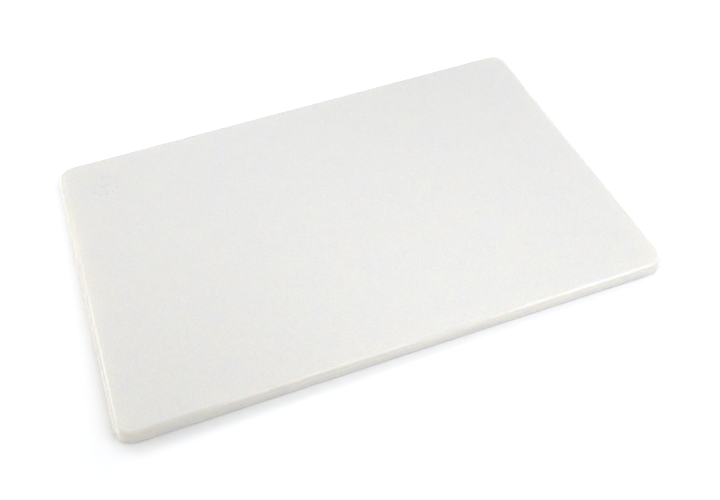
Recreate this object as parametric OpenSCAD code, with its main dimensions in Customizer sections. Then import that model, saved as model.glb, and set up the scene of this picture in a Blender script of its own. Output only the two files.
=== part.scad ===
// A rectangular polyethylene cutting board, moulded in one piece and lying flat.
// The origin is the centre of the underside. +X runs along the long side, +Y towards the
// far side and +Z up out of the cutting face. Sizes are in millimetres.

/* [Board] */
// Length of the long side
board_length = 457.2; // [250:0.1:610]
// Length of the short side
board_width = 304.8; // [200:0.1:460]
// Thickness of the slab
board_thickness = 12.7; // [11:0.1:25]
// Radius of the four corners, seen from above
corner_radius = 15; // [8:0.5:40]

/* [Edges] */
// Radius of the edge round the cutting face
top_edge_radius = 5; // [1:0.1:6]
// Radius of the edge round the underside
bottom_edge_radius = 4; // [1:0.1:4.5]

/* [Mould dial] */
// Distance from the left side to the dial's centre
dial_from_left = 39; // [25:0.5:80]
// Distance from the far side to the dial's centre
dial_from_far = 39; // [25:0.5:80]
// Diameter of the ring of ticks, measured over their outer ends
dial_diameter = 25.4; // [16:0.1:36]
// Number of ticks round the dial
dial_ticks = 12; // [6:1:24]
// Length of one tick
tick_length = 2.8; // [1:0.1:4]
// Width of the grooves that draw the dial
groove_width = 0.9; // [0.4:0.1:1.2]
// Depth of the grooves below the cutting face
groove_depth = 0.3; // [0.1:0.05:0.8]
// Length of the pointer at the dial's centre
pointer_length = 11; // [6:0.1:14]
// Width of the pointer's head
pointer_head = 4.2; // [2:0.1:6]

/* [Hidden] */
$fn = 96;
// How far a cutting shape stands past the surface that it cuts
overcut = 1;
// Straight stretches of the outline between the round corners
straight_length = board_length - 2 * corner_radius;
straight_width = board_width - 2 * corner_radius;
// Where the dial's centre lies
dial_x = dial_from_left - board_length / 2;
dial_y = board_width / 2 - dial_from_far;

// The scrap that a round edge takes off a square corner whose point is at the origin
module edge_scrap(radius) {
    difference() {
        translate([-radius, -radius]) square(radius + overcut);
        translate([-radius, -radius]) circle(radius);
    }
}

// Cross-section of the board, from an inner end at x = 0 out to the side wall at x = reach
module edge_section(reach) {
    difference() {
        square([reach, board_thickness]);
        translate([reach, board_thickness]) edge_scrap(top_edge_radius);
        translate([reach, 0]) mirror([0, 1]) edge_scrap(bottom_edge_radius);
    }
}

// A straight bar of the edge section, centred on the Y axis, its side wall facing +X
module edge_bar(reach, length) {
    rotate([90, 0, 0]) linear_extrude(length, center = true) edge_section(reach);
}

// One round corner of the board, a quarter turn from +X to +Y about its own centre
module corner() {
    rotate_extrude(angle = 90) edge_section(corner_radius);
}

// The slab with its round corners and round edges
module slab() {
    for (side = [0, 1]) {
        // the middle, which reaches from the centre line to each long side
        rotate(90 + 180 * side) edge_bar(board_width / 2, straight_length);
        // a strip along each short side
        rotate(180 * side) translate([straight_length / 2, 0]) edge_bar(corner_radius, straight_width);
    }
    for (turn = [0 : 3]) {
        across = turn % 2 == 0 ? [straight_length, straight_width] : [straight_width, straight_length];
        rotate(90 * turn) translate(across / 2) corner();
    }
}

// Outline of the moulded date dial: a ring of ticks round a pointer
module dial_outline() {
    for (i = [0 : dial_ticks - 1])
        rotate(i * 360 / dial_ticks)
            translate([dial_diameter / 2 - tick_length, -groove_width / 2])
                square([tick_length, groove_width]);
    translate([-pointer_length / 2, -groove_width / 2]) square([pointer_length / 2, groove_width]);
    polygon([[0, -pointer_head / 2], [pointer_length / 2, 0], [0, pointer_head / 2]]);
}

// The board, with the dial sunk into its cutting face
module board() {
    color("#eeeeea")
    difference() {
        slab();
        translate([dial_x, dial_y, board_thickness - groove_depth])
            linear_extrude(groove_depth + overcut) dial_outline();
    }
}

board();
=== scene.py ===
"""A white polyethylene cutting board, lying on the white acrylic table of a photo studio."""

import math

import bmesh
import bpy
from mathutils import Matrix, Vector


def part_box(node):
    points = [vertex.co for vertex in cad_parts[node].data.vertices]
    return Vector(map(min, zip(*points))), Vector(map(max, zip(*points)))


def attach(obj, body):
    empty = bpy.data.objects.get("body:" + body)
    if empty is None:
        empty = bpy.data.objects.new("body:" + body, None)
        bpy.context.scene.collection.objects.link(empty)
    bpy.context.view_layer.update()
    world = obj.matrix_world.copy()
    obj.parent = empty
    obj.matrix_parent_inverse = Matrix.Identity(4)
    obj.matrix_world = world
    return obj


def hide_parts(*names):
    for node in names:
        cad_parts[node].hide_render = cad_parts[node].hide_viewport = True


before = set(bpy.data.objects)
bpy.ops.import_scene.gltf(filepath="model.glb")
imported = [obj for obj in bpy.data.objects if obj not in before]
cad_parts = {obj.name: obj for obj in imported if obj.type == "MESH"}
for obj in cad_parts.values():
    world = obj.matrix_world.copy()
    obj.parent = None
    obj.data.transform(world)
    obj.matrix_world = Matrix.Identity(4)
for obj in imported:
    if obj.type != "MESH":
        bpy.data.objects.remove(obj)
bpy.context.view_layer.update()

bl_info = {
    "name": "Polyethylene Cutting Board",
    "version": (1, 0, 0),
    "blender": (4, 5, 0),
    "location": "View3D > Sidebar > Cutting Board",
    "description": "Moulds a plain cutting board and sets up the studio that it is photographed in",
    "category": "Object",
}

MM = 0.001
UP = Vector((0, 0, 1))

# The slab as it was packed: the lowest and highest corners, in metres
BOARD_LOW, BOARD_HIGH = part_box("board")
BOARD_SIZE = BOARD_HIGH - BOARD_LOW


def linear(hex_colour):
    """The linear RGBA value of an sRGB colour such as #EDEDE9."""
    rgb = []
    for start in (1, 3, 5):
        level = int(hex_colour[start:start + 2], 16) / 255
        rgb.append(level / 12.92 if level <= 0.04045 else ((level + 0.055) / 1.055) ** 2.4)
    return (*rgb, 1.0)


def add_node(tree, kind, settings=None, values=None, links=None):
    """Adds one node, sets its options and its sockets' values, and joins sources to its inputs."""
    node = tree.nodes.new(kind)
    for name, option in (settings or {}).items():
        setattr(node, name, option)
    for socket, value in (values or {}).items():
        node.inputs[socket].default_value = value
    for socket, source in (links or {}).items():
        tree.links.new(source, node.inputs[socket])
    return node


def smooth_step(share):
    """An S-shaped rise from 0 to 1 while share goes from 0 to 1."""
    share = min(max(share, 0.0), 1.0)
    return share * share * (3 - 2 * share)


class BoardSettings(bpy.types.PropertyGroup):
    """Sizes and colour of the board itself."""

    corner_radius: bpy.props.FloatProperty(
        name="Corner radius", description="Radius of the four corners, seen from above",
        default=15 * MM, min=8 * MM, max=40 * MM, precision=4, unit="LENGTH")
    top_edge_radius: bpy.props.FloatProperty(
        name="Top edge radius", description="Radius of the edge round the cutting face",
        default=5 * MM, min=1 * MM, max=6 * MM, precision=4, unit="LENGTH")
    bottom_edge_radius: bpy.props.FloatProperty(
        name="Bottom edge radius", description="Radius of the edge round the underside",
        default=4 * MM, min=1 * MM, max=4.5 * MM, precision=4, unit="LENGTH")
    dial_from_left: bpy.props.FloatProperty(
        name="Dial from left", description="Distance from the left side to the dial's centre",
        default=39 * MM, min=25 * MM, max=80 * MM, precision=4, unit="LENGTH")
    dial_from_far: bpy.props.FloatProperty(
        name="Dial from far side", description="Distance from the far side to the dial's centre",
        default=39 * MM, min=25 * MM, max=80 * MM, precision=4, unit="LENGTH")
    dial_diameter: bpy.props.FloatProperty(
        name="Dial diameter", description="Diameter over the outer ends of the dial's ticks",
        default=25.4 * MM, min=16 * MM, max=36 * MM, precision=4, unit="LENGTH")
    dial_ticks: bpy.props.IntProperty(
        name="Ticks", description="Number of ticks round the dial", default=12, min=6, max=24)
    tick_length: bpy.props.FloatProperty(
        name="Tick length", description="Length of one tick",
        default=2.8 * MM, min=1 * MM, max=4 * MM, precision=4, unit="LENGTH")
    groove_width: bpy.props.FloatProperty(
        name="Groove width", description="Width of the grooves that draw the dial",
        default=0.9 * MM, min=0.4 * MM, max=1.2 * MM, precision=4, unit="LENGTH")
    groove_depth: bpy.props.FloatProperty(
        name="Groove depth", description="Depth of the grooves below the cutting face",
        default=0.3 * MM, min=0.1 * MM, max=0.8 * MM, precision=4, unit="LENGTH")
    pointer_length: bpy.props.FloatProperty(
        name="Pointer length", description="Length of the pointer at the dial's centre",
        default=11 * MM, min=6 * MM, max=14 * MM, precision=4, unit="LENGTH")
    pointer_head: bpy.props.FloatProperty(
        name="Pointer head", description="Width of the pointer's head",
        default=4.2 * MM, min=2 * MM, max=6 * MM, precision=4, unit="LENGTH")
    plastic_colour: bpy.props.FloatVectorProperty(
        name="Plastic", description="Colour of the polyethylene",
        default=linear("#E5E3DE"), size=4, min=0, max=1, subtype="COLOR")


# Where the slider of a lamp's power ends, in watts
BRIGHTEST_LAMP = 50


def power(name, description, watts):
    """The setting for how bright one lamp is."""
    return bpy.props.FloatProperty(
        name=name, description=description, default=watts, min=0, soft_max=BRIGHTEST_LAMP, unit="POWER")


def colour(name, description, hex_colour):
    """The setting for one colour."""
    return bpy.props.FloatVectorProperty(
        name=name, description=description, default=linear(hex_colour),
        size=4, min=0, max=1, subtype="COLOR")


class StudioSettings(bpy.types.PropertyGroup):
    """Colours and strengths of the studio round the board."""

    floor_colour: colour("Floor", "Colour of the white acrylic table", "#FAFAFA")
    # Painted glow: the table gives off light of its own, and no lamp lights it from below; it is faint
    # next to the board and strongest far out
    near_painted_glow: bpy.props.FloatProperty(
        name="Floor glow", description="How brightly the table shines round the board, lit from below",
        default=0.08, min=0, max=1, precision=3)
    far_painted_glow: bpy.props.FloatProperty(
        name="Far floor glow", description="How brightly the table shines far from the board",
        default=1.0, min=0, max=1, precision=3)
    room_colour: colour("Room", "Colour of the room behind the table, which gives no light", "#FFFFFF")
    plain_light: colour("Plain light", "Colour of the plain lamps", "#FFFFFF")
    warm_light: colour("Warm light", "Colour of the warm lamp on the left", "#FFFAF0")
    cool_light: colour("Cool light", "Colour of the lamps that shine like daylight", "#F2F6FF")
    left_card: power("Left card", "Power of the low card on the left", 4.3)
    back_left_box: power("Back left box", "Power of the softbox that lines the left edge", 2.75)
    front_right_box: power("Front right box", "Power of the softbox that lines the front edge", 2.6)
    right_card: power("Right card", "Power of the low card on the right", 2.45)
    back_box: power("Back box", "Power of the large softbox at the back", 2.15)
    back_right_card: power("Back right card", "Power of the low card at the back right", 0.9)
    top_box: power("Top box", "Power of the softbox overhead", 0.9)
    high_camera_box: power("High camera box", "Power of the softbox above the camera", 0.72)
    front_box: power("Front box", "Power of the softbox beside the camera", 0.45)
    right_box: power("Right box", "Power of the softbox at the right", 0.36)
    left_box: power("Left box", "Power of the softbox at the left", 0.28)
    low_camera_box: power("Low camera box", "Power of the softbox below the camera", 0.3)
    front_glint: power("Front glint", "Power of the small lamp that glints in the front edge", 0.16)


# How far apart the mesh lines are across the dial, and across the plain rest of the faces
DIAL_MESH_STEP = 0.3 * MM
PLAIN_MESH_STEP = 15 * MM
# Flat margin that keeps the fine mesh lines round the dial
DIAL_MARGIN = 1 * MM
# How wide the rounded lip of a moulded groove is
GROOVE_LIP = 0.3 * MM
# Number of facets round a corner, and round an edge
CORNER_FACETS = 24
EDGE_FACETS = 12


def mesh_lines(half, centre, reach):
    """Positions from -half to half: fine steps within reach of centre, and wide ones elsewhere."""
    stops = (-half, centre - reach, centre + reach, half)
    steps = (PLAIN_MESH_STEP, DIAL_MESH_STEP, PLAIN_MESH_STEP)
    lines = []
    for start, end, step in zip(stops, stops[1:], steps):
        count = max(1, math.ceil((end - start) / step))
        lines += [start + (end - start) * i / count for i in range(count)]
    return lines + [half]


def tick_distance(x, y, board):
    """Distance from a point to the nearest tick of the dial, below zero inside it."""
    turn = 2 * math.pi / board.dial_ticks
    off = (math.atan2(y, x) + turn / 2) % turn - turn / 2
    along = math.hypot(x, y) * math.cos(off)
    across = math.hypot(x, y) * math.sin(off)
    middle = (board.dial_diameter - board.tick_length) / 2
    return max(abs(along - middle) - board.tick_length / 2, abs(across) - board.groove_width / 2)


def pointer_distance(x, y, board):
    """Distance from a point to the dial's pointer, below zero inside it."""
    half = board.pointer_length / 2
    shaft = max(abs(x + half / 2) - half / 2, abs(y) - board.groove_width / 2)
    slope = Vector((board.pointer_head / 2, half)).normalized()
    head = max(-x, slope.x * (x - half) + slope.y * abs(y))
    return min(shaft, head)


def groove_drop(x, y, board):
    """How far the cutting face lies below its plane at a point measured from the dial's centre."""
    distance = min(tick_distance(x, y, board), pointer_distance(x, y, board))
    # One half of the lip lies outside the outline, the other half inside
    return board.groove_depth * smooth_step(0.5 - distance / GROOVE_LIP)


def edge_points(board):
    """The edge's section from the cutting face down, as pairs of inset from the side and height."""
    top, bottom = board.top_edge_radius, board.bottom_edge_radius
    points = []
    for i in range(EDGE_FACETS + 1):
        angle = math.pi / 2 * i / EDGE_FACETS
        points.append((top * (1 - math.sin(angle)), BOARD_HIGH.z - top * (1 - math.cos(angle))))
    for i in range(EDGE_FACETS + 1):
        angle = math.pi / 2 * i / EDGE_FACETS
        points.append((bottom * (1 - math.cos(angle)), BOARD_LOW.z + bottom * (1 - math.sin(angle))))
    return points


def outline_columns(xs, ys):
    """The mesh columns round the board, anticlockwise: (x index, y index, outward direction) of each."""
    last_x, last_y = len(xs) - 1, len(ys) - 1
    sides = [
        [(last_x, j) for j in range(last_y + 1)],
        [(i, last_y) for i in range(last_x, -1, -1)],
        [(0, j) for j in range(last_y, -1, -1)],
        [(i, 0) for i in range(last_x + 1)],
    ]
    columns = []
    for quarter, side in enumerate(sides):
        for i, j in side:
            columns.append((i, j, math.pi / 2 * quarter))
        for k in range(1, CORNER_FACETS):
            i, j = side[-1]
            columns.append((i, j, math.pi / 2 * (quarter + k / CORNER_FACETS)))
    return columns


def face_grid(bm, xs, ys, height):
    """The vertices and faces of one flat face inside the corner centres; height gives z at (x, y)."""
    verts = [[bm.verts.new((x, y, height(x, y))) for y in ys] for x in xs]
    for i in range(len(xs) - 1):
        for j in range(len(ys) - 1):
            bm.faces.new((verts[i][j], verts[i + 1][j], verts[i + 1][j + 1], verts[i][j + 1]))
    return verts


def board_mesh(board):
    """The whole skin of the board: two flat faces, the round edge between them and the sunk dial."""
    half_x = BOARD_SIZE.x / 2 - board.corner_radius
    half_y = BOARD_SIZE.y / 2 - board.corner_radius
    dial_x = BOARD_LOW.x + board.dial_from_left
    dial_y = BOARD_HIGH.y - board.dial_from_far
    reach = board.dial_diameter / 2 + DIAL_MARGIN
    xs = mesh_lines(half_x, dial_x, reach)
    ys = mesh_lines(half_y, dial_y, reach)

    def top_height(x, y):
        if max(abs(x - dial_x), abs(y - dial_y)) >= reach:
            return BOARD_HIGH.z
        return BOARD_HIGH.z - groove_drop(x - dial_x, y - dial_y, board)

    bm = bmesh.new()
    top = face_grid(bm, xs, ys, top_height)
    bottom = face_grid(bm, xs, ys, lambda x, y: BOARD_LOW.z)
    profile = edge_points(board)
    columns = outline_columns(xs, ys)
    rings = []
    for i, j, angle in columns:
        outward = Vector((math.cos(angle), math.sin(angle), 0))
        base = Vector((xs[i], ys[j], 0))
        ring = [bm.verts.new(base + outward * (board.corner_radius - inset) + UP * z)
                for inset, z in profile]
        rings.append([top[i][j], *ring, bottom[i][j]])
    for left, right in zip(rings, rings[1:] + rings[:1]):
        for k in range(len(left) - 1):
            # Round a corner, neighbouring columns share their inner vertex, which leaves a triangle
            corners = dict.fromkeys((left[k], left[k + 1], right[k + 1], right[k]))
            bm.faces.new(list(corners))
    bmesh.ops.recalc_face_normals(bm, faces=bm.faces)
    mesh = bpy.data.meshes.new("cutting_board")
    bm.to_mesh(mesh)
    bm.free()
    mesh.shade_smooth()
    return mesh


# Width of one grain of the stipple pressed into both faces, drawn coarse enough to show
STIPPLE_GRAIN = 0.88 * MM
STIPPLE_HEIGHT = 0.06 * MM
# How many finer layers the grain has, and how strong each is beside the one before
GRAIN_LAYERS = 2.0
GRAIN_ROUGHNESS = 0.6
# How much painted shade darkens the plastic in the stipple's pits, and how much painted light lightens it
# on its peaks
STIPPLE_PAINTED_SHADING = 0.06
# The noise is about this low in a pit and this high on a peak
PIT_NOISE, PEAK_NOISE = 0.3, 0.7
# How squarely the skin faces up or down where the stipple starts, and where it is at its full height
STIPPLE_START, STIPPLE_FULL = 0.975, 0.9995
EDGE_ROUGHNESS = 0.1
FACE_ROUGHNESS = 0.45
POLYETHYLENE_IOR = 1.54
# How far light goes in the milky plastic before it scatters, and the share of that for red, green
# and blue: blue goes the shortest way, so the sides of the board look a little warm
SCATTER_DISTANCE = 15 * MM
SCATTER_SHARES = (1.0, 0.8, 0.5)


def moulded_polyethylene(board):
    """Polyethylene pressed between textured plates: milky, satin where stippled, glossier at the edge."""
    material = bpy.data.materials.new("moulded_polyethylene")
    material.use_nodes = True
    tree = material.node_tree
    tree.nodes.clear()
    place = add_node(tree, "ShaderNodeTexCoord")
    normal = add_node(tree, "ShaderNodeNewGeometry")
    axes = add_node(tree, "ShaderNodeSeparateXYZ", links={0: normal.outputs["Normal"]})
    level = add_node(tree, "ShaderNodeMath", {"operation": "ABSOLUTE"}, links={0: axes.outputs["Z"]})
    # The plates only touched the flat faces, so the stipple fades out where the edge starts to turn
    flat = add_node(tree, "ShaderNodeMapRange", {"interpolation_type": "SMOOTHSTEP"},
                    {"From Min": STIPPLE_START, "From Max": STIPPLE_FULL}, {"Value": level.outputs[0]})
    grain = add_node(tree, "ShaderNodeTexNoise", {},
                     {"Scale": 1 / STIPPLE_GRAIN, "Detail": GRAIN_LAYERS, "Roughness": GRAIN_ROUGHNESS},
                     {"Vector": place.outputs["Object"]})
    stipple = add_node(tree, "ShaderNodeBump", {}, {"Distance": STIPPLE_HEIGHT},
                       {"Strength": flat.outputs["Result"], "Height": grain.outputs["Fac"]})
    # The pressed stipple scatters the highlight, and the edge that it misses stays smoother
    gloss = add_node(tree, "ShaderNodeMapRange", {},
                     {"To Min": EDGE_ROUGHNESS, "To Max": FACE_ROUGHNESS},
                     {"Value": flat.outputs["Result"]})
    # Painted shade and light: the plastic is coloured a trace darker in the stipple's pits than on its
    # peaks, standing in for the stipple's own light and shade
    painted_stipple_shading = add_node(tree, "ShaderNodeMapRange", {},
                    {"From Min": PIT_NOISE, "From Max": PEAK_NOISE,
                     "To Min": 1 - STIPPLE_PAINTED_SHADING, "To Max": 1 + STIPPLE_PAINTED_SHADING},
                    {"Value": grain.outputs["Fac"]})
    # The plastic's colour with the stipple's painted shade and painted light multiplied in
    plastic = add_node(tree, "ShaderNodeVectorMath", {"operation": "SCALE"},
                       {0: board.plastic_colour[:3]}, {"Scale": painted_stipple_shading.outputs["Result"]})
    surface = add_node(
        tree, "ShaderNodeBsdfPrincipled", {"subsurface_method": "RANDOM_WALK"},
        {"IOR": POLYETHYLENE_IOR, "Subsurface Weight": 1.0,
         "Subsurface Radius": SCATTER_SHARES, "Subsurface Scale": SCATTER_DISTANCE},
        {"Base Color": plastic.outputs["Vector"], "Roughness": gloss.outputs["Result"],
         "Normal": stipple.outputs["Normal"]})
    add_node(tree, "ShaderNodeOutputMaterial", links={"Surface": surface.outputs["BSDF"]})
    return material


class CUTTING_BOARD_OT_mould_board(bpy.types.Operator):
    """Mould the board in one piece, with its round edges and its sunk dial"""

    bl_idname = "cutting_board.mould_board"
    bl_label = "Mould Board"

    def execute(self, context):
        board = context.scene.board_settings
        mesh = board_mesh(board)
        mesh.materials.append(moulded_polyethylene(board))
        piece = bpy.data.objects.new("cutting_board", mesh)
        context.scene.collection.objects.link(piece)
        # Lets the flat faces decide the shading where they meet the round edge
        piece.modifiers.new("Flat faces first", "WEIGHTED_NORMAL")
        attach(piece, "root")
        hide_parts("board")
        return {"FINISHED"}


# The photographer's camera: where it stands, how it is turned and its lens
CAMERA_PLACE = (-0.1629, -0.5121, 0.5744)
CAMERA_TILT = math.radians(41.196)
CAMERA_ROLL = math.radians(2.716)
CAMERA_HEADING = math.radians(-19.550)
CAMERA_LENS = 44.45
CAMERA_SHIFT = (0.0393, 0.002)
# How wide the table top is, and how far it stays clear of the board's underside
FLOOR_SIZE = 12.0
FLOOR_GAP = 0.1 * MM

# The shells on which the lamps hang: how far they are from the board, and how wide each lamp is
NEAR_SHELL = (0.65, 0.3)
GLINT_SHELL = (0.76, 0.11)
FAR_SHELL = (1.1, 0.5)
# Each lamp's shell, its direction in degrees anticlockwise from +X and up from the floor, and its tint
LAMPS = {
    "left_card": (FAR_SHELL, 180, 20, "warm_light"),
    "back_left_box": (FAR_SHELL, 135, 45, "cool_light"),
    "front_right_box": (FAR_SHELL, 317, 38, "cool_light"),
    "right_card": (FAR_SHELL, 0, 20, "cool_light"),
    "back_box": (FAR_SHELL, 90, 45, "cool_light"),
    "back_right_card": (FAR_SHELL, 45, 20, "plain_light"),
    "top_box": (NEAR_SHELL, 45, 65, "cool_light"),
    "high_camera_box": (NEAR_SHELL, 270, 65, "plain_light"),
    "front_box": (NEAR_SHELL, 300, 45, "plain_light"),
    "right_box": (NEAR_SHELL, 330, 45, "cool_light"),
    "left_box": (NEAR_SHELL, 150, 25, "plain_light"),
    "low_camera_box": (NEAR_SHELL, 270, 45, "plain_light"),
    "front_glint": (GLINT_SHELL, 286, 14, "plain_light"),
}


def hang_lamp(name, studio):
    """Hangs one square lamp on its shell, turned towards the board's centre."""
    (distance, width), azimuth, elevation, tint = LAMPS[name]
    azimuth, elevation = math.radians(azimuth), math.radians(elevation)
    outward = Vector((math.cos(azimuth) * math.cos(elevation), math.sin(azimuth) * math.cos(elevation),
                      math.sin(elevation)))
    lamp = bpy.data.lights.new(name, "AREA")
    lamp.shape = "SQUARE"
    lamp.size = width
    lamp.energy = getattr(studio, name)
    lamp.color = getattr(studio, tint)[:3]
    light = bpy.data.objects.new(name, lamp)
    light.location = distance * outward
    light.rotation_euler = outward.to_track_quat("Z", "Y").to_euler()
    light.visible_camera = False
    bpy.context.scene.collection.objects.link(light)


# How far from the board the table's painted glow starts to grow brighter, and where it is brightest
PAINTED_GLOW_START, PAINTED_GLOW_END = 10 * MM, 500 * MM


def acrylic_with_painted_glow(studio):
    """Matt white acrylic with a painted glow: spreads light evenly and gives off light of its own, faint
    round the board and brightest far out.
    """
    material = bpy.data.materials.new("matt_white_acrylic")
    material.use_nodes = True
    tree = material.node_tree
    tree.nodes.clear()
    place = add_node(tree, "ShaderNodeTexCoord")
    mirrored = add_node(tree, "ShaderNodeVectorMath", {"operation": "ABSOLUTE"},
                        links={0: place.outputs["Object"]})
    beyond = add_node(tree, "ShaderNodeVectorMath", {"operation": "SUBTRACT"},
                      {1: (BOARD_SIZE.x / 2, BOARD_SIZE.y / 2, 0)}, {0: mirrored.outputs["Vector"]})
    outside = add_node(tree, "ShaderNodeVectorMath", {"operation": "MAXIMUM"}, {1: (0, 0, 0)},
                       {0: beyond.outputs["Vector"]})
    distance = add_node(tree, "ShaderNodeVectorMath", {"operation": "LENGTH"},
                        links={0: outside.outputs["Vector"]})
    # Painted glow: the table's own light grows with distance from the board, so the shade round the board
    # stays and the far table turns white
    glow = add_node(tree, "ShaderNodeMapRange", {},
                    {"From Min": PAINTED_GLOW_START, "From Max": PAINTED_GLOW_END,
                     "To Min": studio.near_painted_glow, "To Max": studio.far_painted_glow},
                    {"Value": distance.outputs["Value"]})
    surface = add_node(
        tree, "ShaderNodeBsdfPrincipled", {},
        {"Base Color": studio.floor_colour, "Roughness": 1.0, "Specular IOR Level": 0.0,
         "Emission Color": (1, 1, 1, 1)},
        {"Emission Strength": glow.outputs["Result"]})
    add_node(tree, "ShaderNodeOutputMaterial", links={"Surface": surface.outputs["BSDF"]})
    return material


def lay_floor(studio):
    """Lays a wide flat table top just below the board's underside."""
    bm = bmesh.new()
    bmesh.ops.create_grid(bm, x_segments=1, y_segments=1, size=FLOOR_SIZE / 2)
    mesh = bpy.data.meshes.new("table_top")
    bm.to_mesh(mesh)
    bm.free()
    mesh.materials.append(acrylic_with_painted_glow(studio))
    floor = bpy.data.objects.new("table_top", mesh)
    floor.location.z = -FLOOR_GAP
    bpy.context.scene.collection.objects.link(floor)


def paint_room(studio):
    """A plain room that the camera sees past the table's edge, and that gives the board no light."""
    world = bpy.data.worlds.new("white_room")
    world.use_nodes = True
    world.node_tree.nodes.clear()
    path = add_node(world.node_tree, "ShaderNodeLightPath")
    room = add_node(world.node_tree, "ShaderNodeBackground", {}, {"Color": studio.room_colour},
                    {"Strength": path.outputs["Is Camera Ray"]})
    add_node(world.node_tree, "ShaderNodeOutputWorld", links={"Surface": room.outputs["Background"]})
    bpy.context.scene.world = world


def stand_camera():
    """Stands the camera where the photographer's was."""
    lens = bpy.data.cameras.new("camera")
    lens.lens = CAMERA_LENS
    lens.shift_x, lens.shift_y = CAMERA_SHIFT
    camera = bpy.data.objects.new("camera", lens)
    camera.location = CAMERA_PLACE
    camera.rotation_euler = (CAMERA_TILT, CAMERA_ROLL, CAMERA_HEADING)
    bpy.context.scene.collection.objects.link(camera)
    bpy.context.scene.camera = camera


class CUTTING_BOARD_OT_set_studio(bpy.types.Operator):
    """Lay the table top and set up the lights and the camera"""

    bl_idname = "cutting_board.set_studio"
    bl_label = "Set Studio"

    def execute(self, context):
        studio = context.scene.studio_settings
        lay_floor(studio)
        paint_room(studio)
        for name in LAMPS:
            hang_lamp(name, studio)
        stand_camera()
        context.scene.view_settings.view_transform = "Standard"
        return {"FINISHED"}


class CUTTING_BOARD_PT_panel(bpy.types.Panel):
    """Buttons and sizes for the board and its studio."""

    bl_label = "Cutting Board"
    bl_idname = "CUTTING_BOARD_PT_panel"
    bl_space_type = "VIEW_3D"
    bl_region_type = "UI"
    bl_category = "Cutting Board"

    def draw(self, context):
        for operator, settings in (
            ("cutting_board.mould_board", context.scene.board_settings),
            ("cutting_board.set_studio", context.scene.studio_settings),
        ):
            self.layout.operator(operator)
            for name in settings.__annotations__:
                self.layout.prop(settings, name)


CLASSES = (
    BoardSettings,
    StudioSettings,
    CUTTING_BOARD_OT_mould_board,
    CUTTING_BOARD_OT_set_studio,
    CUTTING_BOARD_PT_panel,
)


def register():
    """Adds the settings, the operators and the panel to Blender."""
    for cls in CLASSES:
        bpy.utils.register_class(cls)
    bpy.types.Scene.board_settings = bpy.props.PointerProperty(type=BoardSettings)
    bpy.types.Scene.studio_settings = bpy.props.PointerProperty(type=StudioSettings)


def unregister():
    """Takes them out again."""
    del bpy.types.Scene.studio_settings
    del bpy.types.Scene.board_settings
    for cls in reversed(CLASSES):
        bpy.utils.unregister_class(cls)


def main():
    """Makes the board and its studio."""
    register()
    bpy.ops.cutting_board.mould_board()
    bpy.ops.cutting_board.set_studio()


if __name__ == "__main__":
    main()
